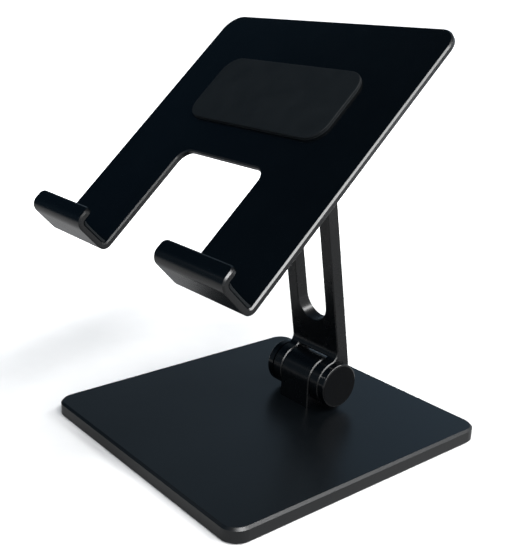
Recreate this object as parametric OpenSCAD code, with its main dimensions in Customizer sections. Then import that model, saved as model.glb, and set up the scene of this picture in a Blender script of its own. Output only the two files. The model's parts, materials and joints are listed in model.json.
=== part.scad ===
// Tablet stand: a weighted base, a slotted arm and a tray with two hooks,
// joined by two friction hinges whose axes run along X.
// Millimetres. The origin is the centre of the base at desk level. The hooks face -Y, and +Z is up.

/* [Base] */
// Width of the base, along X
base_w = 150; // [140:1:180]
// Depth of the base, along Y
base_d = 155; // [145:1:180]
// Thickness of the base plate
base_t = 6.9; // [6:0.1:9]
// Radius of the base's corners
base_corner_r = 8.5; // [6:0.5:14]
// Bevel along the base's top edge
base_bevel = 1.1; // [0.6:0.1:1.6]
// How far the mat stands out below the base
mat_proud = 0.6; // [0.5:0.1:1.5]
// Gap between the mat's edge and the base's edge
mat_inset = 5; // [4:0.5:10]

/* [Hinges] */
// Distance of the lower hinge behind the centre of the base
hinge_y = 31.6; // [20:0.1:45]
// Radius of the hinge barrels
barrel_r = 11.5; // [11:0.1:13]
// Width of the block in the middle of each hinge
block_w = 20.8; // [20:0.1:24]
// Height of a hinge axis above the face that its block is fixed to
block_h = 13.4; // [13.2:0.1:16]
// Bevel on the edges of the hinge blocks
block_bevel = 0.5; // [0.3:0.1:0.8]
// Gap between a hinge block and the arm's ears
ear_gap = 0.35; // [0.3:0.05:0.6]
// Width of each end cap outside the arm's ears
cap_w = 4.4; // [3.8:0.1:5]
// Radius of the rounding around each end cap
cap_round = 1; // [0.5:0.1:1.5]
// Radius of the hinge bolts
bolt_r = 4; // [3.8:0.1:4.2]

/* [Arm] */
// Distance between the two hinge axes
arm_len = 133.5; // [125:0.5:160]
// Width of the arm
arm_w = 34.3; // [33.5:0.1:40]
// Thickness of the arm
arm_t = 7; // [5.5:0.1:7.5]
// Bevel on the arm's edges
arm_bevel = 0.5; // [0.3:0.1:1]
// Forward lean of the arm from upright, in degrees
arm_lean = 9.4; // [0:0.1:20]
// Where the round above each ear starts, measured from the hinge axis
ear_blend = 16.4; // [15:0.1:18]
// Width of the slot in the arm
slot_w = 20.4; // [16:0.1:22]
// Distance from each hinge axis to the near end of the slot
slot_from_axis = 29.2; // [26:0.2:34]
// Bevel around the slot
slot_bevel = 0.35; // [0.3:0.05:0.8]

/* [Tray] */
// Width of the tray
tray_w = 150; // [140:1:180]
// Length of the tray plate above the hinge axis
tray_above = 48.5; // [44:0.5:60]
// Distance from the hinge axis down to the underside of the hooks
tray_below = 98.7; // [90:0.1:105]
// Thickness of the tray sheet
tray_t = 3; // [2.9:0.1:3.5]
// Pitch of the tray above horizontal, in degrees
tray_pitch = 42.8; // [30:0.2:50]
// Radius of the tray's top corners
tray_corner_r = 10; // [6:0.5:14]
// Bevel on the tray's edges
tray_bevel = 0.65; // [0.3:0.05:0.8]
// Width of the notch between the hooks
notch_w = 59.4; // [50:0.2:70]
// Height of the notch above the underside of the hooks
notch_h = 61.4; // [50:0.2:66]
// Radius of the notch's corners
notch_r = 6.5; // [4:0.5:9]
// Depth of the hooks in front of the tray
hook_d = 18.4; // [16:0.1:24]
// Height of the hooks' lips above the hooks' underside
lip_h = 9.8; // [9:0.1:14]
// Inside radius of the bend between the tray and the hooks
bend_r = 1.25; // [1:0.05:2]
// Inside radius of the bend below the lips
lip_bend_r = 1.75; // [1.5:0.05:2.5]
// Radius of the lips' corners
lip_corner_r = 2.8; // [2:0.1:4]

/* [Pads] */
// Width of the pad on the tray
pad_w = 93; // [80:1:120]
// Height of the pad on the tray
pad_h = 38.6; // [34:0.2:44]
// Thickness of the pad on the tray
pad_t = 1.6; // [1:0.1:2]
// Radius of the pad's corners
pad_r = 9.5; // [5:0.5:12]
// Thickness of the pads in the hooks
hook_pad_t = 1.5; // [1:0.1:1.8]
// Gap between a hook pad and the edges of its hook
hook_pad_inset = 0.7; // [0.7:0.1:2]

/* [Hidden] */

$fn = 96;
// Overlap that keeps cuts clear of the faces they pass through
cut = 1;

metal_black = [0.06, 0.065, 0.075];
base_grey = [0.13, 0.135, 0.145];
cap_black = [0.03, 0.03, 0.035];
pad_grey = [0.16, 0.16, 0.17];
steel_grey = [0.6, 0.6, 0.62];
bronze = [0.55, 0.4, 0.22];

// Places of the two hinge axes
lower_axis_z = mat_proud + base_t + block_h;
lower_axis = [0, hinge_y, lower_axis_z];
upper_axis = lower_axis + arm_len * [0, -sin(arm_lean), cos(arm_lean)];

// Mat and the recess that holds it
mat_recess = 1;
mat_t = mat_proud + mat_recess;
mat_w = base_w - 2 * mat_inset;
mat_d = base_d - 2 * mat_inset;
mat_corner_r = 6;
mat_bevel = 0.3;
mat_side_gap = 0.1;
base_under_bevel = 0.25;

// Places along a hinge axis, measured from its middle
ear_in = block_w / 2 + ear_gap;
ear_out = arm_w / 2;
ear_floor = ear_in + 2.55;
cap_seam = 0.1;
cap_out = ear_out + cap_w;
cap_face_t = 1.1;
ear_pocket_r = 8.2;
spigot_r = 8.15;
spigot_in_r = 7.5;
spigot_depth = 1.5;

// Hinge hardware
bolt_fit = 0.02;
ear_fit = 0.06;
face_fit = 0.05;
friction_t = 0.7;
friction_r = 7.4;
inner_friction_t = 0.65;
inner_friction_r = 8.3;
inner_recess_r = 8.5;
spring_t = 0.5;
spring_h = 0.8;
spring_r = 6.9;
thread_r = 3;
thread_fit = 0.05;
shoulder_end = ear_floor + face_fit + friction_t;
nut_start = shoulder_end + 2 * spring_h;
nut_t = 3.8;
nut_flats = 10;
nut_bevel = 0.4;
bolt_head_r = 6.5;
bolt_head_t = 4.6;
bolt_socket_flats = 5;
bolt_socket_d = 2.6;
thread_end = nut_start + nut_t + 0.2;

// Screws that hold the hinge blocks
screw_r = 2;
screw_head_r = 3.9;
screw_fit = 0.1;
screw_spacing = 13;
screw_sunk = 0.1;
screw_socket_flats = 2.5;
screw_socket_d = 1.3;
screw_hole_d = 8.5;
base_screw_len = 12;
tray_screw_len = 10;

// Arm, in its own frame: Y points behind the arm, and Z runs from the lower axis to the upper one
arm_front = barrel_r - arm_t;
blend_r = (pow(ear_blend, 2) - pow(barrel_r, 2) + pow(arm_front, 2)) / (2 * (barrel_r + arm_front));
blend_y = arm_front - blend_r;
fork_depth = barrel_r + 0.7;
fork_lip_y = arm_front - 1.6;
round_back = barrel_r - 2;

// Tray, in its own frame: Y runs up the tray, Z points out of its front face, and the origin is
// the point of the front face in front of the upper hinge axis
tray_front = block_h + tray_t;
leg_w = (tray_w - notch_w) / 2;
leg_x = (tray_w + notch_w) / 4;
bend_y = -tray_below + tray_t + bend_r;
lip_bend_y = -tray_below + tray_t + lip_bend_r;
lip_bend_z = hook_d - tray_t - lip_bend_r;
hook_pad_w = leg_w - 2 * hook_pad_inset;
hook_pad_gap = 0.4;
hook_pad_len = hook_d - tray_t - 2 * hook_pad_gap;
pad_bevel = 0.3;

// ---- Places ----

module at_lower_hinge() {
    translate(lower_axis) children();
}

module on_arm() {
    translate(lower_axis) rotate([arm_lean, 0, 0]) children();
}

module on_arm_top() {
    on_arm() translate([0, 0, arm_len]) children();
}

// The upper block hangs under the tray, so its frame is turned over
module at_upper_hinge() {
    translate(upper_axis) rotate([tray_pitch + 180, 0, 0]) children();
}

module on_tray() {
    translate(upper_axis) rotate([tray_pitch, 0, 0]) translate([0, 0, tray_front]) children();
}

// ---- Shared shapes ----

// A solid of revolution about X, from the outline's [radius, x] points
module turned(points) {
    rotate([0, 90, 0]) rotate_extrude() polygon(points);
}

// A tube about X
module ring(x0, x1, inner_r, outer_r) {
    turned([[inner_r, x0], [outer_r, x0], [outer_r, x1], [inner_r, x1]]);
}

// A drum about X with both of its edges bevelled
module drum(x0, x1, r, bevel) {
    turned([
        [0, x0], [r - bevel, x0], [r, x0 + bevel],
        [r, x1 - bevel], [r - bevel, x1], [0, x1]
    ]);
}

// A round bar about X
module bar(x0, x1, r) {
    translate([x0, 0, 0]) rotate([0, 90, 0]) cylinder(h = x1 - x0, r = r);
}

// The section of a sheet whose four edges are bevelled
function sheet_section(w, t, top, bottom) = [
    [-w / 2 + bottom, 0], [w / 2 - bottom, 0], [w / 2, bottom], [w / 2, t - top],
    [w / 2 - top, t], [-w / 2 + top, t], [-w / 2, t - top], [-w / 2, bottom]
];

// A strip of sheet along Y, centred on the origin
module band(w, len, t, top, bottom) {
    rotate([90, 0, 0]) linear_extrude(len, center = true) polygon(sheet_section(w, t, top, bottom));
}

// A disc on the XY plane with both of its edges bevelled
module bevelled_disc(r, t, top, bottom) {
    rotate_extrude() polygon([
        [0, 0], [r - bottom, 0], [r, bottom], [r, t - top], [r - top, t], [0, t]
    ]);
}

// A rounded rectangular slab on the XY plane with its top and bottom edges bevelled
module slab(w, d, t, r, top, bottom) {
    band(w, d - 2 * r, t, top, bottom);
    rotate([0, 0, 90]) band(d, w - 2 * r, t, top, bottom);
    for (x = [-1, 1], y = [-1, 1])
        translate([x * (w / 2 - r), y * (d / 2 - r), 0]) bevelled_disc(r, t, top, bottom);
}

// A tongue of sheet from y = 0 to y = len with two rounded far corners and bevelled edges
module tongue(w, len, t, r, bevel) {
    lap = 0.4;
    translate([0, (len - r) / 2, 0]) band(w, len - r, t, bevel, bevel);
    rotate([90, 0, 90]) linear_extrude(w - 2 * r, center = true) polygon([
        [len - r - lap, 0], [len - bevel, 0], [len, bevel],
        [len, t - bevel], [len - bevel, t], [len - r - lap, t]
    ]);
    for (x = [-1, 1])
        translate([x * (w / 2 - r), len - r, 0]) bevelled_disc(r, t, bevel, bevel);
}

// Cutters through a sheet of thickness t, which open out at both of its faces
module flared_band(w, len, t, bevel) {
    h = w / 2;
    rotate([90, 0, 0]) linear_extrude(len, center = true) polygon([
        [-h - bevel - cut, -cut], [h + bevel + cut, -cut], [h, bevel], [h, t - bevel],
        [h + bevel + cut, t + cut], [-h - bevel - cut, t + cut], [-h, t - bevel], [-h, bevel]
    ]);
}

module flared_disc(r, t, bevel) {
    rotate_extrude() polygon([
        [0, -cut], [r + bevel + cut, -cut], [r, bevel],
        [r, t - bevel], [r + bevel + cut, t + cut], [0, t + cut]
    ]);
}

// A countersunk screw along +Z with its head's face at z = 0
module screw(len) {
    cone_h = screw_head_r - screw_r;
    difference() {
        rotate_extrude() polygon([
            [0, 0], [screw_head_r, 0], [screw_r, cone_h], [screw_r, len - 0.5], [screw_r - 0.5, len], [0, len]
        ]);
        translate([0, 0, -cut])
            cylinder(h = screw_socket_d + cut, r = screw_socket_flats / sqrt(3), $fn = 6);
    }
}

// The countersunk hole that the screw passes through
module screw_hole(depth) {
    head = screw_head_r + screw_fit + screw_sunk;
    shank = screw_r + screw_fit;
    translate([0, 0, -cut]) cylinder(h = depth + 2 * cut, r = shank);
    rotate_extrude() polygon([[0, -cut], [head + cut, -cut], [shank, head - shank], [0, head - shank]]);
}

// ---- Hinge pieces, about the X axis, with the block's fixing face below ----

module hinge_block() {
    half = block_w / 2;
    foot = sheet_section(2 * barrel_r, block_w, block_bevel, block_bevel);
    difference() {
        union() {
            drum(-half, half, barrel_r, block_bevel);
            rotate([0, 0, 90]) translate([0, 0, -block_h]) linear_extrude(block_h)
                polygon([for (p = foot) p - [0, half]]);
        }
        bar(-half - cut, half + cut, bolt_r + bolt_fit);
        for (side = [-1, 1])
            translate([side * half, 0, 0]) bar(-ear_gap, ear_gap, inner_recess_r);
        for (y = [-1, 1])
            translate([0, y * screw_spacing / 2, -block_h - cut])
                cylinder(h = screw_hole_d + cut, r = screw_r + bolt_fit);
    }
}

module hinge_bolt() {
    head_x = -shoulder_end;
    difference() {
        union() {
            bar(head_x, shoulder_end, bolt_r);
            bar(shoulder_end - cut, thread_end, thread_r);
            drum(head_x - bolt_head_t, head_x, bolt_head_r, 0.5);
        }
        translate([head_x - bolt_head_t - cut, 0, 0]) rotate([0, 90, 0])
            cylinder(h = bolt_socket_d + cut, r = bolt_socket_flats / sqrt(3), $fn = 6);
    }
}

module friction_washers() {
    inner = bolt_r + face_fit;
    for (side = [0, 1]) mirror([side, 0, 0]) {
        ring(block_w / 2 - ear_gap, block_w / 2 - ear_gap + inner_friction_t, inner, inner_friction_r);
        ring(ear_floor + face_fit, shoulder_end, inner, friction_r);
    }
}

// Two cupped spring washers, set rim to rim
module spring_washers() {
    inner = thread_r + thread_fit;
    lift = spring_h - spring_t;
    start = shoulder_end;
    middle = start + spring_h;
    turned([[inner, start], [spring_r, start + lift], [spring_r, middle], [inner, middle - lift]]);
    turned([[inner, middle + lift], [spring_r, middle], [spring_r, middle + spring_t], [inner, nut_start]]);
}

module lock_nut() {
    difference() {
        intersection() {
            translate([nut_start, 0, 0]) rotate([0, 90, 0])
                cylinder(h = nut_t, r = nut_flats / sqrt(3), $fn = 6);
            drum(nut_start, nut_start + nut_t, nut_flats / sqrt(3), nut_bevel);
        }
        bar(nut_start - cut, nut_start + nut_t + cut, thread_r + thread_fit);
    }
}

// An end cap with a spigot that presses into the pocket of the ear
module end_cap() {
    depth = cap_w - cap_seam;
    rotate([0, 90, 0]) translate([0, 0, ear_out + cap_seam]) rotate_extrude() difference() {
        union() {
            square([barrel_r - cap_round, depth]);
            translate([0, 0.3]) square([barrel_r, depth - cap_round - 0.3]);
            translate([barrel_r - cap_round, depth - cap_round]) circle(cap_round);
            translate([0, -spigot_depth]) square([spigot_r, spigot_depth + cut]);
        }
        translate([-cut, -spigot_depth - cut])
            square([spigot_in_r + cut, spigot_depth + depth - cap_face_t + cut]);
    }
}

// ---- Base ----

module base_plate() {
    color(base_grey) difference() {
        translate([0, 0, mat_proud])
            slab(base_w, base_d, base_t, base_corner_r, base_bevel, base_under_bevel);
        translate([0, 0, -cut]) linear_extrude(mat_t + cut)
            rounded_outline(mat_w + 2 * mat_side_gap, mat_d + 2 * mat_side_gap, mat_corner_r);
        for (y = [-1, 1])
            translate([0, hinge_y + y * screw_spacing / 2, mat_t]) screw_hole(base_t);
    }
}

module rounded_outline(w, d, r) {
    square([w, d - 2 * r], center = true);
    square([w - 2 * r, d], center = true);
    for (x = [-1, 1], y = [-1, 1])
        translate([x * (w / 2 - r), y * (d / 2 - r)]) circle(r);
}

module base_mat() {
    color(pad_grey) slab(mat_w, mat_d, mat_t, mat_corner_r, mat_bevel, mat_bevel);
}

module block_screws(len) {
    for (y = [-1, 1])
        translate([0, y * screw_spacing / 2, 0]) screw(len);
}

module lower_block_screws() {
    color(steel_grey) translate([0, hinge_y, mat_t + screw_sunk]) block_screws(base_screw_len);
}

module lower_hinge_block() {
    color(metal_black) at_lower_hinge() hinge_block();
}

module lower_hinge_bolt() {
    color(steel_grey) at_lower_hinge() hinge_bolt();
}

module lower_friction_washers() {
    color(bronze) at_lower_hinge() friction_washers();
}

module lower_spring_washers() {
    color(steel_grey) at_lower_hinge() spring_washers();
}

module lower_lock_nut() {
    color(steel_grey) at_lower_hinge() lock_nut();
}

module lower_cap_left() {
    color(cap_black) on_arm() mirror([1, 0, 0]) end_cap();
}

module lower_cap_right() {
    color(cap_black) on_arm() end_cap();
}

// ---- Arm ----

// The round between the arm's front face and an ear, bevelled like the ear
module ear_round() {
    difference() {
        translate([ear_in, 0, 0]) rotate([90, 0, 90]) linear_extrude(ear_out - ear_in)
            polygon([[0, 0], [blend_y, ear_blend], [round_back, ear_blend], [round_back, 0]]);
        translate([0, blend_y, ear_blend]) turned([
            [0, ear_in - cut], [blend_r + arm_bevel + cut, ear_in - cut], [blend_r, ear_in + arm_bevel],
            [blend_r, ear_out - arm_bevel], [blend_r + arm_bevel + cut, ear_out + cut], [0, ear_out + cut]
        ]);
    }
}

// The same round carried across the arm above the gap between the ears
module fork_lip() {
    half = ear_in + arm_bevel + 0.2;
    difference() {
        translate([-half, 0, 0]) rotate([90, 0, 90]) linear_extrude(2 * half) polygon([
            [fork_lip_y, fork_depth], [fork_lip_y, ear_blend - blend_r / 2], [blend_y, ear_blend],
            [round_back, ear_blend], [round_back, fork_depth]
        ]);
        translate([0, blend_y, ear_blend]) bar(-half - cut, half + cut, blend_r);
    }
}

// The two ears at one end of the arm, about X, with the arm above them
module ears() {
    for (side = [0, 1]) mirror([side, 0, 0]) {
        drum(ear_in, ear_out, barrel_r, arm_bevel);
        ear_round();
    }
    fork_lip();
}

module arm_blank() {
    translate([0, arm_front, arm_len / 2]) rotate([90, 0, 180])
        band(arm_w, arm_len, arm_t, arm_bevel, arm_bevel);
}

// The gap between the ears, opened out at the arm's two faces
module fork_gap() {
    translate([0, arm_front, 0]) rotate([90, 0, 180])
        flared_band(2 * ear_in, 2 * fork_depth, arm_t, arm_bevel);
}

module arm_slot() {
    end_z = slot_from_axis + slot_w / 2;
    translate([0, arm_front, 0]) rotate([90, 0, 180]) {
        translate([0, arm_len / 2, 0]) flared_band(slot_w, arm_len - 2 * end_z, arm_t, slot_bevel);
        for (z = [end_z, arm_len - end_z])
            translate([0, z, 0]) flared_disc(slot_w / 2, arm_t, slot_bevel);
    }
}

module ear_bores() {
    bar(-ear_out - cut, ear_out + cut, bolt_r + ear_fit);
    for (side = [0, 1]) mirror([side, 0, 0])
        bar(ear_floor, ear_out + cut, ear_pocket_r);
}

module arm() {
    color(metal_black) on_arm() difference() {
        union() {
            difference() {
                arm_blank();
                fork_gap();
                translate([0, 0, arm_len]) fork_gap();
                arm_slot();
            }
            ears();
            translate([0, 0, arm_len]) mirror([0, 0, 1]) ears();
        }
        ear_bores();
        translate([0, 0, arm_len]) ear_bores();
    }
}

module upper_cap_left() {
    color(cap_black) on_arm_top() mirror([1, 0, 0]) end_cap();
}

module upper_cap_right() {
    color(cap_black) on_arm_top() end_cap();
}

// ---- Tray ----

module upper_hinge_block() {
    color(metal_black) at_upper_hinge() hinge_block();
}

module upper_block_screws() {
    color(steel_grey) on_tray() translate([0, 0, -screw_sunk]) mirror([0, 0, 1]) block_screws(tray_screw_len);
}

module upper_hinge_bolt() {
    color(steel_grey) at_upper_hinge() hinge_bolt();
}

module upper_friction_washers() {
    color(bronze) at_upper_hinge() friction_washers();
}

module upper_spring_washers() {
    color(steel_grey) at_upper_hinge() spring_washers();
}

module upper_lock_nut() {
    color(steel_grey) at_upper_hinge() lock_nut();
}

// The notch between the hooks, opened out at both faces of the sheet
module tray_notch() {
    top = -tray_below + notch_h;
    low = -tray_below - 10;
    side_len = top - notch_r - low;
    strip = 30;
    translate([0, 0, -tray_t]) {
        translate([0, low + side_len / 2, 0]) flared_band(notch_w, side_len, tray_t, tray_bevel);
        translate([0, top - strip / 2, 0]) rotate([0, 0, 90])
            flared_band(strip, notch_w - 2 * notch_r, tray_t, tray_bevel);
        for (x = [-1, 1])
            translate([x * (notch_w / 2 - notch_r), top - notch_r, 0])
                flared_disc(notch_r, tray_t, tray_bevel);
    }
}

// A quarter bend of the hook's sheet about X, ending at the given angle
module hook_bend(inner_r, turn) {
    rotate([0, 90, 0]) rotate([0, 0, turn]) rotate_extrude(angle = 90)
        polygon([for (p = sheet_section(leg_w, tray_t, tray_bevel, tray_bevel)) [inner_r + p[1], p[0]]]);
}

// One hook: a bend, a ledge, a second bend and a lip
module hook() {
    ledge_len = lip_bend_z - bend_r;
    lip_len = -tray_below + lip_h - lip_bend_y;
    translate([0, bend_y, bend_r]) hook_bend(bend_r, -90);
    translate([0, -tray_below, bend_r + ledge_len / 2]) rotate([90, 0, 180])
        band(leg_w, ledge_len, tray_t, tray_bevel, tray_bevel);
    translate([0, lip_bend_y, lip_bend_z]) hook_bend(lip_bend_r, -180);
    translate([0, lip_bend_y, hook_d - tray_t])
        tongue(leg_w, lip_len, tray_t, lip_corner_r, tray_bevel);
}

module tray() {
    color(metal_black) on_tray() {
        difference() {
            translate([0, bend_y, -tray_t])
                tongue(tray_w, tray_above - bend_y, tray_t, tray_corner_r, tray_bevel);
            tray_notch();
            for (y = [-1, 1])
                translate([0, y * screw_spacing / 2, 0]) mirror([0, 0, 1]) screw_hole(tray_t);
        }
        for (x = [-1, 1])
            translate([x * leg_x, 0, 0]) hook();
    }
}

module tray_pad() {
    color(pad_grey) on_tray() slab(pad_w, pad_h, pad_t, pad_r, pad_bevel, pad_bevel);
}

// A circle that goes straight up from its widest points
module round_foot(r) {
    circle(r);
    translate([-r, 0]) square([2 * r, hook_pad_t]);
}

// The section of a hook pad, whose lower corners are as round as the bends beside them
module hook_pad_section() {
    intersection() {
        square([hook_pad_len, hook_pad_t]);
        union() {
            translate([bend_r, 0]) square([hook_pad_len - bend_r - lip_bend_r, hook_pad_t]);
            translate([bend_r, bend_r]) round_foot(bend_r);
            translate([hook_pad_len - lip_bend_r, lip_bend_r]) round_foot(lip_bend_r);
        }
    }
}

module hook_pad() {
    translate([hook_pad_w / 2, -tray_below + tray_t, hook_pad_gap]) rotate([0, -90, 0])
        linear_extrude(hook_pad_w) hook_pad_section();
}

module hook_pad_left() {
    color(pad_grey) on_tray() translate([-leg_x, 0, 0]) hook_pad();
}

module hook_pad_right() {
    color(pad_grey) on_tray() translate([leg_x, 0, 0]) hook_pad();
}

base_plate();
base_mat();
lower_hinge_block();
lower_block_screws();
lower_hinge_bolt();
lower_friction_washers();
lower_spring_washers();
lower_lock_nut();
lower_cap_left();
lower_cap_right();
arm();
upper_cap_left();
upper_cap_right();
upper_hinge_block();
upper_block_screws();
upper_hinge_bolt();
upper_friction_washers();
upper_spring_washers();
upper_lock_nut();
tray();
tray_pad();
hook_pad_left();
hook_pad_right();
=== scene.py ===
import json
import math

import bmesh
import bpy
from mathutils import Matrix, Vector


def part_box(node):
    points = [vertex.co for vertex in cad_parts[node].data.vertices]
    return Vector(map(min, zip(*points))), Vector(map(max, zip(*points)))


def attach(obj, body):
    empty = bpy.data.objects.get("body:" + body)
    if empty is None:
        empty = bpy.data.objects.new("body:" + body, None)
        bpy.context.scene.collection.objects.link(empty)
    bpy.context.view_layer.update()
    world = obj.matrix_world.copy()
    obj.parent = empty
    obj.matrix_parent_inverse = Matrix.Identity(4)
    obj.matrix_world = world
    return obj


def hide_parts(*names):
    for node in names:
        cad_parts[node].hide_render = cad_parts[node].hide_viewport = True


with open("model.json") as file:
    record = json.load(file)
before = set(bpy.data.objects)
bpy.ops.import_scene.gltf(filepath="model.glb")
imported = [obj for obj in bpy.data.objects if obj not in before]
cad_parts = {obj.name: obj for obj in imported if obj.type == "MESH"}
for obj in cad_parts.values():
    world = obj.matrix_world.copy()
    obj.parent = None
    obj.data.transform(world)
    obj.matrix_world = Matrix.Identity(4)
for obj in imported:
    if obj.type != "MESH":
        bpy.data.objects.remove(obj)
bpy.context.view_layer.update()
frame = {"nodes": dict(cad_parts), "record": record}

MM = 0.001
record = frame["record"]


# ---- Places taken from the frame ----

def mount(name):
    return next(m for m in record["mounts"] if m["name"] == name)


# The tray's own axes: X across, UP_TRAY along the sheet, OUT_TRAY out of its front face
OUT_TRAY = Vector(mount("device_rest")["axis"]).normalized()
ACROSS = Vector((1, 0, 0))
UP_TRAY = OUT_TRAY.cross(ACROSS)
ON_TRAY = (ACROSS, UP_TRAY, OUT_TRAY)
# A hook pad lies on the ledge, so its height runs up the tray and its depth runs out of it
ON_LEDGE = (ACROSS, -OUT_TRAY, UP_TRAY)


def extents(node, axes):
    """Lowest and highest reach of a CAD node along each of three axes."""
    points = [v.co for v in frame["nodes"][node].data.vertices]
    reach = [[p.dot(axis) for p in points] for axis in axes]
    return Vector([min(r) for r in reach]), Vector([max(r) for r in reach])


def placed(axes, origin):
    """The matrix of a piece whose own X, Y and Z lie along these axes."""
    turn = Matrix([list(a) for a in axes]).transposed().to_4x4()
    return Matrix.Translation(origin) @ turn


# ---- Shader helpers ----

def vector_math(tree, operation, first, second=None):
    """A vector sum on a socket and, where it takes two, a second socket or constant."""
    made = tree.nodes.new("ShaderNodeVectorMath")
    made.operation = operation
    tree.links.new(first, made.inputs[0])
    if isinstance(second, bpy.types.NodeSocket):
        tree.links.new(second, made.inputs[1])
    elif second is not None:
        made.inputs[1].default_value = second
    gives_number = operation in ("LENGTH", "DOT_PRODUCT")
    return made.outputs["Value" if gives_number else "Vector"]


class Shader:
    """A node material with one Principled shader, fed by short calls."""

    def __init__(self, name):
        self.material = bpy.data.materials.new(name)
        self.material.use_nodes = True
        self.tree = self.material.node_tree
        self.bsdf = self.tree.nodes["Principled BSDF"]
        self.coords = self.node("ShaderNodeTexCoord").outputs["Object"]

    def node(self, kind, **settings):
        made = self.tree.nodes.new(kind)
        for key, value in settings.items():
            setattr(made, key, value)
        return made

    def link(self, out, into):
        self.tree.links.new(out, into)

    def set(self, **values):
        for key, value in values.items():
            self.bsdf.inputs[key.replace("_", " ")].default_value = value

    def noise(self, size, detail=3.0, rough=0.5, stretch=(1, 1, 1)):
        """Noise whose features measure size metres."""
        spread = self.node("ShaderNodeMapping")
        spread.inputs["Scale"].default_value = stretch
        self.link(self.coords, spread.inputs["Vector"])
        made = self.node("ShaderNodeTexNoise")
        made.inputs["Scale"].default_value = 1 / size
        made.inputs["Detail"].default_value = detail
        made.inputs["Roughness"].default_value = rough
        self.link(spread.outputs["Vector"], made.inputs["Vector"])
        return made.outputs["Fac"]

    def ramp(self, value, low, high, low_at=0.3, high_at=0.7):
        """value mapped from low_at..high_at to low..high, held at both ends."""
        made = self.node("ShaderNodeMapRange")
        ends = {"From Min": low_at, "From Max": high_at, "To Min": low, "To Max": high}
        for key, number in ends.items():
            made.inputs[key].default_value = number
        self.link(value, made.inputs["Value"])
        return made.outputs["Result"]

    def sum(self, operation, first, second):
        """A sum on two values, each a number or a socket."""
        made = self.node("ShaderNodeMath", operation=operation)
        for socket, value in zip(made.inputs, (first, second)):
            if isinstance(value, bpy.types.NodeSocket):
                self.link(value, socket)
            else:
                socket.default_value = value
        return made.outputs["Value"]

    def blend(self, factor, first, second):
        """A colour between first and second."""
        made = self.node("ShaderNodeMix", data_type="RGBA")
        for key, colour in (("A", first), ("B", second)):
            socket = next(s for s in made.inputs if s.name == key and s.type == "RGBA")
            if isinstance(colour, tuple):
                socket.default_value = (*colour, 1)
            else:
                self.link(colour, socket)
        self.link(factor, made.inputs["Factor"])
        return next(s for s in made.outputs if s.type == "RGBA")

    def bump(self, height, depth, strength=1.0, before=None):
        """Bumps depth metres high, on top of any made before."""
        made = self.node("ShaderNodeBump")
        made.inputs["Distance"].default_value = depth
        made.inputs["Strength"].default_value = strength
        self.link(height, made.inputs["Height"])
        if before is not None:
            self.link(before, made.inputs["Normal"])
        return made.outputs["Normal"]


def coated_metal(name, dark, pale, roughness, reflection, grain, depth):
    """A thin dark finish on blasted metal.

    Its colour and roughness drift slowly, and a fine grain breaks the gloss.
    """
    s = Shader(name)
    drift = s.noise(0.035, detail=4)
    s.link(s.blend(s.ramp(drift, 0, 1), dark, pale), s.bsdf.inputs["Base Color"])
    smudge = s.noise(0.012, detail=5, rough=0.6)
    spread = 0.015
    s.link(s.ramp(smudge, roughness - spread, roughness + spread), s.bsdf.inputs["Roughness"])
    fine = s.noise(grain, detail=2, rough=0.6)
    s.link(s.bump(fine, depth), s.bsdf.inputs["Normal"])
    s.set(Specular_IOR_Level=reflection)
    return s.material


def silicone(name, dark, pale):
    """Matte rubber with a soft bloom, a fine pebble and a little dust."""
    s = Shader(name)
    bloom = s.noise(0.011, detail=5, rough=0.6)
    body = s.blend(s.ramp(bloom, 0, 1), dark, pale)
    dust = s.ramp(s.noise(0.0011, detail=4, rough=0.7), 0, 0.4, low_at=0.6, high_at=0.8)
    s.link(s.blend(dust, body, tuple(1.4 * c for c in pale)), s.bsdf.inputs["Base Color"])
    s.link(s.ramp(bloom, 0.54, 0.62), s.bsdf.inputs["Roughness"])
    pebble = s.noise(0.0003, detail=2)
    s.link(s.bump(pebble, 0.00001), s.bsdf.inputs["Normal"])
    s.set(Specular_IOR_Level=0.22)
    return s.material


def turned_steel(name, dark, pale, mark_size):
    """Bare metal with fine turning marks across its axis and faint stains."""
    s = Shader(name)
    marks = s.noise(mark_size, detail=3, stretch=(1, 0.04, 0.04))
    s.link(s.blend(s.ramp(marks, 0, 1), dark, pale), s.bsdf.inputs["Base Color"])
    stain = s.noise(0.003, detail=4)
    s.link(s.ramp(stain, 0.22, 0.38), s.bsdf.inputs["Roughness"])
    s.link(s.bump(marks, 0.00001), s.bsdf.inputs["Normal"])
    s.set(Metallic=1.0)
    return s.material


def gloss_plastic(name, dark, pale):
    """Moulded gloss plastic with a slight orange peel and fine handling marks."""
    s = Shader(name)
    drift = s.noise(0.02, detail=3)
    s.link(s.blend(s.ramp(drift, 0, 1), dark, pale), s.bsdf.inputs["Base Color"])
    handling = s.noise(0.004, detail=6, rough=0.7)
    s.link(s.ramp(handling, 0.06, 0.12), s.bsdf.inputs["Roughness"])
    peel = s.noise(0.0015, detail=1)
    s.link(s.bump(peel, 0.000004), s.bsdf.inputs["Normal"])
    s.set(Specular_IOR_Level=0.35)
    return s.material


# ---- Materials, one for each of the record's slots ----

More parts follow.
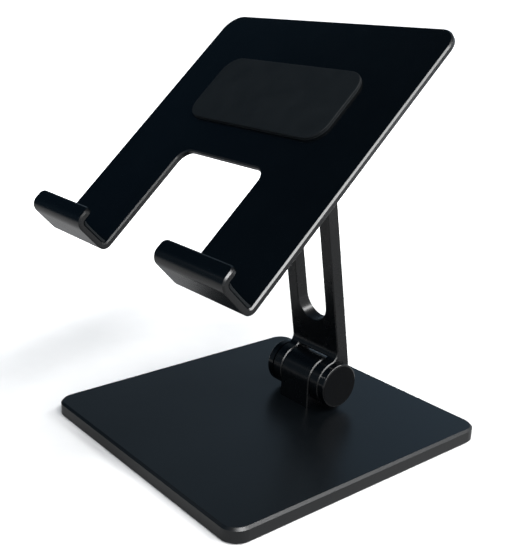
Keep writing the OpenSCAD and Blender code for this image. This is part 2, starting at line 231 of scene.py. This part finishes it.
LOOKS = {
    "base_metal": coated_metal(
        "base_satin", (0.0010, 0.0016, 0.0022), (0.0014, 0.0022, 0.0030),
        roughness=0.30, reflection=0.46, grain=0.0004, depth=0.000003,
    ),
    "tray_metal": coated_metal(
        "tray_satin", (0.0004, 0.0008, 0.0012), (0.0006, 0.0012, 0.0018),
        roughness=0.24, reflection=0.45, grain=0.0003, depth=0.000003,
    ),
    "hinge_metal": coated_metal(
        "hinge_satin", (0.0004, 0.0007, 0.0011), (0.0006, 0.0010, 0.0016),
        roughness=0.27, reflection=0.35, grain=0.0003, depth=0.000002,
    ),
    "cap_plastic": gloss_plastic("cap_gloss", (0.0005, 0.0007, 0.0011), (0.0009, 0.0012, 0.0017)),
    "silicone": silicone("soft_silicone", (0.0025, 0.0038, 0.0048), (0.0032, 0.0048, 0.0060)),
    "steel": turned_steel("turned_steel", (0.42, 0.42, 0.43), (0.62, 0.62, 0.63), 0.0002),
    "friction": turned_steel("friction_bronze", (0.38, 0.24, 0.10), (0.52, 0.35, 0.17), 0.0002),
}


def finish_cad_nodes():
    """Gives every CAD node the material of its slot."""
    slots = {part["node"]: part["material_slot"] for part in record["subparts"]}
    for node, obj in frame["nodes"].items():
        obj.data.materials.clear()
        obj.data.materials.append(LOOKS[slots[node]])


# ---- Soft pieces ----

SHARP_FROM = math.radians(35)
# How far the first ring of a slab's underside sits in from its edge
UNDER_INSET = 0.5 * MM


def corner_outline(half_x, half_y, r, steps):
    """A rounded rectangle's points, anticlockwise, with steps points on each corner."""
    points = []
    for quarter in range(4):
        sx = 1 if quarter in (0, 3) else -1
        sy = 1 if quarter in (0, 1) else -1
        for i in range(steps):
            a = (quarter + i / (steps - 1)) * math.pi / 2
            x = sx * (half_x - r) + r * math.cos(a)
            y = sy * (half_y - r) + r * math.sin(a)
            points.append((x, y))
    return points


def lofted_slab(name, half_x, half_y, corner_r, rings, steps=14):
    """A closed rounded slab.

    rings are (inset, z) pairs from the middle of its underside to the middle of its top.
    """
    least_r = 0.3 * MM
    bm = bmesh.new()
    loops = []
    for inset, z in rings:
        r = max(corner_r - inset, least_r)
        outline = corner_outline(half_x - inset, half_y - inset, r, steps)
        loops.append([bm.verts.new((x, y, z)) for x, y in outline])
    for low, high in zip(loops, loops[1:]):
        for i in range(len(low)):
            j = (i + 1) % len(low)
            bm.faces.new((low[i], low[j], high[j], high[i]))
    bm.faces.new(reversed(loops[0]))
    bm.faces.new(loops[-1])
    return mesh_piece(name, bm)


def mesh_piece(name, bm):
    """A smooth-shaded object from bm, whose sharp edges stay sharp."""
    bmesh.ops.recalc_face_normals(bm, faces=bm.faces)
    for face in bm.faces:
        face.smooth = True
    mesh = bpy.data.meshes.new(name)
    bm.to_mesh(mesh)
    bm.free()
    mesh.set_sharp_from_angle(angle=SHARP_FROM)
    obj = bpy.data.objects.new(name, mesh)
    bpy.context.scene.collection.objects.link(obj)
    return obj


def round_edge(inset, z, r, steps=4):
    """Rings for the rounded top edge of a slab whose side is at inset and whose top is at z."""
    turns = [math.pi / 2 * i / steps for i in range(steps + 1)]
    return [(inset + r * (1 - math.cos(a)), z - r * (1 - math.sin(a))) for a in turns]


def soft_piece(obj, node, body):
    """Sets a silicone piece in the place of its CAD solid."""
    obj.data.materials.append(LOOKS["silicone"])
    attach(obj, body)
    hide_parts(node)
    return obj


def make_tray_pad():
    """The pad on the tray: a thin skirt, a straight side, a fine rim and a barely crowned top."""
    low, high = extents("tray_pad", ON_TRAY)
    half_x, half_y = (high.x - low.x) / 2, (high.y - low.y) / 2
    thick = high.z - low.z
    corner_r, rim_r, crown = 9.5 * MM, 0.22 * MM, 0.08 * MM
    skirt_out, skirt_h, side_from = 0.12 * MM, 0.22 * MM, 0.3 * MM
    side_top = thick - crown
    rings = [(UNDER_INSET, 0), (0, 0), (0, skirt_h), (skirt_out, side_from)]
    rings += round_edge(skirt_out, side_top, rim_r)
    rise = ((1.2, 0), (2.4, 0.3), (8, 0.8), (15, 1))
    rings += [(inset * MM, side_top + part * crown) for inset, part in rise]
    pad = lofted_slab("tray_pad_soft", half_x, half_y, corner_r, rings)
    middle = (low + high) / 2
    origin = ACROSS * middle.x + UP_TRAY * middle.y + OUT_TRAY * low.z
    pad.matrix_world = placed(ON_TRAY, origin)
    return soft_piece(pad, "tray_pad", "tray")


def foot(from_end, bend_r):
    """Height of a hook pad's underside, which is as round as the bend beside its end."""
    if from_end >= bend_r:
        return 0.0
    return bend_r - math.sqrt(bend_r ** 2 - (bend_r - from_end) ** 2)


def hook_pad_section(half, thick, drop):
    """Outline across a hook pad from its lip end to its tray end, with its top lowered by drop.

    The pad is thin in the middle and lifts towards both of the bends.
    """
    lip_bend_r, tray_bend_r = 1.75 * MM, 1.25 * MM
    middle_thick, tip_gap, tip_r, least = 1.05 * MM, 0.1 * MM, 0.25 * MM, 0.06 * MM
    underside_share, lift_power, steps = 0.2, 4, 28
    under, over = [], []
    for j in range(steps + 1):
        y = (half - tip_gap) * math.sin(math.pi / 2 * (2 * j / steps - 1))
        low = max(foot(half + y, lip_bend_r), foot(half - y, tray_bend_r)) + underside_share * drop
        tip = max(0.0, 1 - (half - tip_gap - abs(y)) / tip_r)
        high = middle_thick + (thick - middle_thick) * abs(y / half) ** lift_power
        high -= tip_r * (1 - math.sqrt(1 - tip ** 2)) + drop
        under.append((y, low))
        over.append((y, max(high, low + least)))
    return under + over[::-1]


def make_hook_pad(side):
    """A strip in a hook. Its two free edges are rounded and not quite straight."""
    node = f"hook_pad_{side}"
    low, high = extents(node, ON_LEDGE)
    half_x, half_y = (high.x - low.x) / 2, (high.y - low.y) / 2
    thick = high.z - low.z
    rim_r, rim_steps = 0.38 * MM, 5
    wave_depth, wave_rate = 0.12 * MM, 9.5
    turns = [math.pi / 2 * i / rim_steps for i in range(rim_steps + 1)]
    edge = [(rim_r * (1 - math.sin(a)), rim_r * (1 - math.cos(a))) for a in reversed(turns)]
    inner = [(0.04 * half_x * k, 0.0) for k in (1, 3, 6, 10, 15, 20)]
    stations = edge + inner
    bm = bmesh.new()
    rows = []
    for sign, order in ((-1, stations), (1, stations[::-1])):
        for from_edge, drop in order:
            row = []
            for y, z in hook_pad_section(half_y, thick, drop):
                wave = 0.5 + 0.5 * math.sin(wave_rate * y / half_y + sign)
                sway = wave_depth * wave * (1 - from_edge / half_x)
                row.append(bm.verts.new((sign * (half_x - sway - from_edge), y, z)))
            rows.append(row)
    for row, following in zip(rows, rows[1:]):
        for i in range(len(row)):
            j = (i + 1) % len(row)
            bm.faces.new((row[i], row[j], following[j], following[i]))
    bm.faces.new(rows[0])
    bm.faces.new(reversed(rows[-1]))
    pad = mesh_piece(f"hook_pad_{side}_soft", bm)
    middle = (low + high) / 2
    origin = ACROSS * middle.x - OUT_TRAY * middle.y + UP_TRAY * low.z
    pad.matrix_world = placed(ON_LEDGE, origin)
    return soft_piece(pad, node, "tray")


def make_base_mat():
    """The mat under the base, with three shallow grip grooves round its underside."""
    low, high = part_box("base_mat")
    half_x, half_y = (high.x - low.x) / 2, (high.y - low.y) / 2
    thick = high.z - low.z
    groove_d, groove_w, wall = 0.35 * MM, 1.4 * MM, 0.25 * MM
    corner_r, rim_r = 6 * MM, 0.3 * MM
    rings = []
    for inset in (26 * MM, 16 * MM, 6 * MM):
        inner = inset + groove_w
        rings += [(inner + wall, 0), (inner, groove_d), (inset + wall, groove_d), (inset, 0)]
    rings += [(UNDER_INSET, 0), (0.15 * MM, 0.08 * MM), (0, rim_r)]
    rings += round_edge(0, thick, rim_r)
    mat = lofted_slab("base_mat_soft", half_x, half_y, corner_r, rings)
    mat.location = ((low.x + high.x) / 2, (low.y + high.y) / 2, low.z)
    return soft_piece(mat, "base_mat", "base")


# ---- Studio ----

# Tones of the room from its darkest side at 0 to its palest side at 1
SIDE_TONES = (
    (0.0, (0.010, 0.024, 0.044)),
    (0.02, (0.022, 0.048, 0.078)),
    (0.10, (0.13, 0.17, 0.21)),
    (0.20, (0.15, 0.20, 0.25)),
    (0.27, (0.17, 0.26, 0.36)),
    (0.50, (0.42, 0.46, 0.50)),
    (0.87, (0.96, 0.98, 1.00)),
    (1.0, (1.00, 1.00, 1.00)),
)
# The room's brightness from the horizon at 0 to straight up at 1
HEIGHT_TONES = (
    (0.0, (1.0, 1.0, 1.0)),
    (0.62, (1.0, 1.0, 1.0)),
    (0.85, (0.35, 0.35, 0.35)),
    (1.0, (0.2, 0.2, 0.2)),
)

def direction(azimuth, elevation):
    """Towards a place round the object: azimuth 0 is in front (-Y) and 90 is +X, in degrees."""
    a, e = math.radians(azimuth), math.radians(elevation)
    return Vector((math.sin(a) * math.cos(e), -math.cos(a) * math.cos(e), math.sin(e)))


def make_camera():
    """The camera at the photograph's viewing angle."""
    place = Vector((0.3077, -0.2622, 0.2098))
    heading, tilt, roll = map(math.radians, (50.62, -17.83, 1.59))
    look = Vector((-math.sin(heading) * math.cos(tilt), math.cos(heading) * math.cos(tilt), math.sin(tilt)))
    level_right = look.cross(Vector((0, 0, 1))).normalized()
    level_up = level_right.cross(look)
    right = math.cos(roll) * level_right + math.sin(roll) * level_up
    up = math.cos(roll) * level_up - math.sin(roll) * level_right
    data = bpy.data.cameras.new("camera")
    data.sensor_width = 36
    data.lens = 57.7
    data.clip_start = 0.01
    data.clip_end = 100
    camera = bpy.data.objects.new("camera", data)
    camera.matrix_world = placed((right, up, -look), place)
    bpy.context.scene.collection.objects.link(camera)
    bpy.context.scene.camera = camera


def towards_side(tree, place):
    """How bright the room is on each side of the stand: pale on the right and dark on the left."""
    pale_side = direction(100, 0)
    level = vector_math(tree, "MULTIPLY", place, (1, 1, 0))
    heading = vector_math(tree, "NORMALIZE", level)
    towards = vector_math(tree, "DOT_PRODUCT", heading, pale_side)
    ramp = colour_ramp(tree, SIDE_TONES)
    shift = tree.nodes.new("ShaderNodeMapRange")
    shift.inputs["From Min"].default_value = -1
    tree.links.new(towards, shift.inputs["Value"])
    tree.links.new(shift.outputs["Result"], ramp.inputs["Fac"])
    return ramp.outputs["Color"]


def colour_ramp(tree, tones):
    """A ramp through (place, colour) tones."""
    ramp = tree.nodes.new("ShaderNodeValToRGB")
    elements = ramp.color_ramp.elements
    while len(elements) < len(tones):
        elements.new(0.5)
    for element, (place, colour) in zip(elements, tones):
        element.position = place
        element.color = (*colour, 1)
    return ramp


def make_floor():
    """A pale table under the stand.

    The stand is lit by a dimmer table than the camera sees, and far from the stand by the
    room's tones. What the camera sees brightens to white away from the contact shadow.
    """
    half_side = 40.0
    pale, palest, dimmer = (0.83, 0.83, 0.83), (0.85, 0.85, 0.85), (0.35, 0.35, 0.35)
    room_from, room_full = 0.5, 1.2
    lift_from, lift_full = 0.14, 0.5
    signs = ((-1, -1), (1, -1), (1, 1), (-1, 1))
    mesh = bpy.data.meshes.new("floor")
    mesh.from_pydata([(x * half_side, y * half_side, 0) for x, y in signs], [], [(0, 1, 2, 3)])
    floor = bpy.data.objects.new("floor", mesh)
    bpy.context.scene.collection.objects.link(floor)
    s = Shader("pale_floor")
    speckle = s.noise(0.02, detail=2)
    table = s.blend(s.ramp(speckle, 0, 1), pale, palest)
    away = vector_math(s.tree, "LENGTH", s.coords)
    far = s.ramp(away, 0, 1, low_at=room_from, high_at=room_full)
    seen = s.node("ShaderNodeLightPath").outputs["Is Camera Ray"]
    near_colour = s.blend(seen, dimmer, table)
    toned = s.sum("MULTIPLY", far, s.sum("SUBTRACT", 1, seen))
    room = towards_side(s.tree, s.coords)
    s.link(s.blend(toned, near_colour, room), s.bsdf.inputs["Base Color"])
    lift = s.ramp(away, 0, 1, low_at=lift_from, high_at=lift_full)
    s.link(s.sum("MULTIPLY", lift, seen), s.bsdf.inputs["Emission Strength"])
    s.set(Roughness=0.8, Specular_IOR_Level=0.2, Emission_Color=(1, 1, 1, 1))
    mesh.materials.append(s.material)


def make_softbox(name, azimuth, elevation, distance, size, radiance):
    """A rectangular white light aimed at the middle of the stand, its first side level."""
    aim = Vector((0, 0, 0.09))
    data = bpy.data.lights.new(name, "AREA")
    data.shape = "RECTANGLE"
    data.size, data.size_y = size
    data.energy = radiance * math.pi * size[0] * size[1]
    light = bpy.data.objects.new(name, data)
    towards = direction(azimuth, elevation)
    level = Vector((0, 0, 1)).cross(towards).normalized()
    light.matrix_world = placed((level, towards.cross(level), towards), aim + towards * distance)
    bpy.context.scene.collection.objects.link(light)


def make_world():
    """A room that is pale on the right, dark on the left and dim overhead.

    Behind the floor's edge the camera sees plain white, like the table under the stand.
    """
    world = bpy.data.worlds.new("studio")
    bpy.context.scene.world = world
    world.use_nodes = True
    tree = world.node_tree
    around = tree.nodes.new("ShaderNodeTexCoord").outputs["Generated"]
    split = tree.nodes.new("ShaderNodeSeparateXYZ")
    tree.links.new(around, split.inputs["Vector"])
    height = colour_ramp(tree, HEIGHT_TONES)
    tree.links.new(split.outputs["Z"], height.inputs["Fac"])
    tone = vector_math(tree, "MULTIPLY", towards_side(tree, around), height.outputs["Color"])
    seen = tree.nodes.new("ShaderNodeLightPath").outputs["Is Camera Ray"]
    shown = vector_math(tree, "ADD", tone, seen)
    tree.links.new(shown, tree.nodes["Background"].inputs["Color"])


make_camera()
finish_cad_nodes()
make_tray_pad()
make_hook_pad("left")
make_hook_pad("right")
make_base_mat()
make_floor()
make_world()
make_softbox("long_bar", azimuth=107, elevation=52, distance=2.44, size=(3.84, 0.5), radiance=20)
make_softbox("tall_strip", azimuth=54, elevation=30, distance=1.5, size=(0.2, 0.8), radiance=16)
make_softbox("small_lamp", azimuth=-46, elevation=25, distance=1.5, size=(0.06, 0.02), radiance=16)
bpy.context.scene.view_settings.view_transform = "Standard"
